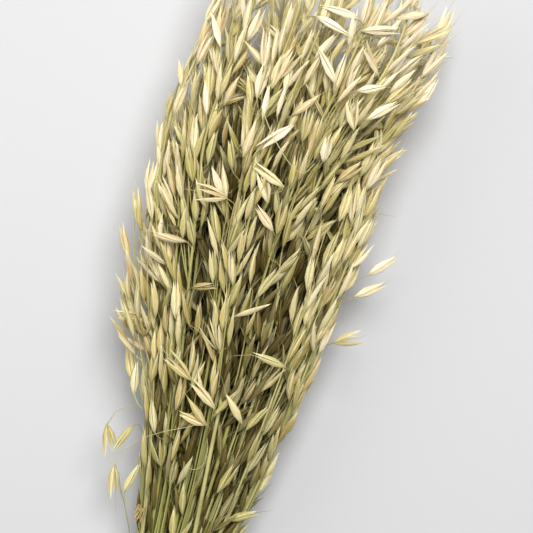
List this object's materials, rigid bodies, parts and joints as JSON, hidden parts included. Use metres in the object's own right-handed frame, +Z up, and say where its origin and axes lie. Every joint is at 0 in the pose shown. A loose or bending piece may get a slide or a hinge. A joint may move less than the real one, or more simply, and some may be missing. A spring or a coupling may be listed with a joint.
{
  "type": "bundle of dried oats",
  "caption": "Lying bundle of dried oat stalks with forked straw-coloured spikelets, fanned out from a twine tie.",
  "frame": {"origin": "middle of the bounding box's bottom, on the surface that the bundle lies on", "axes": "+Y along the bundle from its cut ends to its heads, +Z up, away from the surface, +X to the right seen from above with the heads ahead"},
  "size_m": [0.184, 0.6498, 0.116],
  "materials": {
    "straw": "dry, satin husks and straw",
    "twine": "rough natural fibre"
  },
  "bodies": {
    "root": {"stalk_01": "straw", "stalk_02": "straw", "stalk_03": "straw", "stalk_04": "straw", "stalk_05": "straw", "stalk_06": "straw", "stalk_07": "straw", "stalk_08": "straw", "stalk_09": "straw", "stalk_10": "straw", "stalk_11": "straw", "stalk_12": "straw", "stalk_13": "straw", "stalk_14": "straw", "stalk_15": "straw", "stalk_16": "straw", "stalk_17": "straw", "stalk_18": "straw", "stalk_19": "straw", "stalk_20": "straw", "stalk_21": "straw", "stalk_22": "straw", "stalk_23": "straw", "stalk_24": "straw", "stalk_25": "straw", "stalk_26": "straw", "stalk_27": "straw", "stalk_28": "straw", "stalk_29": "straw", "stalk_30": "straw", "stalk_31": "straw", "stalk_32": "straw", "stalk_33": "straw", "stalk_34": "straw", "stalk_35": "straw", "stalk_36": "straw", "stalk_37": "straw", "stalk_38": "straw", "stalk_39": "straw", "stalk_40": "straw", "stalk_41": "straw", "stalk_42": "straw", "stalk_43": "straw", "twine_tie": "twine"}
  },
  "joints": []
}
